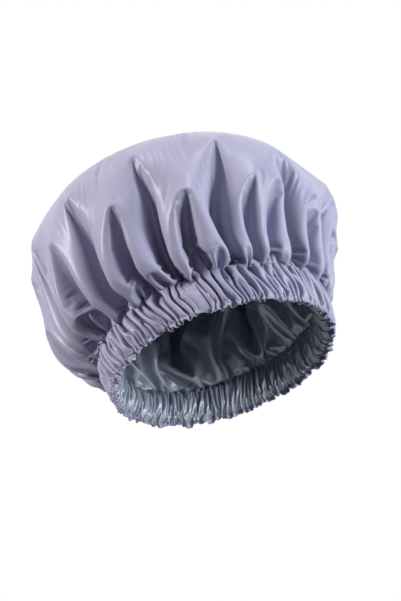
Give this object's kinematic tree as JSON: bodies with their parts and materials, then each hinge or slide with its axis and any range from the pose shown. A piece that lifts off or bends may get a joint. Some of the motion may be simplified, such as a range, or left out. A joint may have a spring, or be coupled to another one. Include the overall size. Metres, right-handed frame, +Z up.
{
  "type": "shower cap",
  "caption": "Puffed bouffant shower cap with a waterproof outer shell, a loose satin lining and a gathered elastic hem that stretches over the head.",
  "frame": {"origin": "centre of the hem, on the plane the hem stands on", "axes": "+Z up through the crown, -Y towards the front, +Y towards the rear, where the elastic is joined"},
  "size_m": [0.236, 0.2359, 0.169],
  "materials": {
    "shell_fabric": "soft sheen",
    "satin": "glossy satin",
    "elastic": "matt",
    "thread": "matt"
  },
  "bodies": {
    "cap": {"outer_shell": "shell_fabric", "satin_lining": "satin", "casing_needle_thread": "thread", "casing_bobbin_thread": "thread", "hem_needle_thread": "thread", "hem_bobbin_thread": "thread"},
    "elastic_loop": {"elastic_band": "elastic", "elastic_join_thread": "thread"}
  },
  "joints": [
    {"name": "opening_stretch", "type": "slide", "parent": "cap", "child": "elastic_loop", "axis": [0, 1, 0], "range_m": [0, 0.05], "stiffness_N_per_m": 200, "deforming": ["elastic_band", "outer_shell", "satin_lining", "casing_needle_thread", "casing_bobbin_thread", "hem_needle_thread", "hem_bobbin_thread"]}
  ]
}
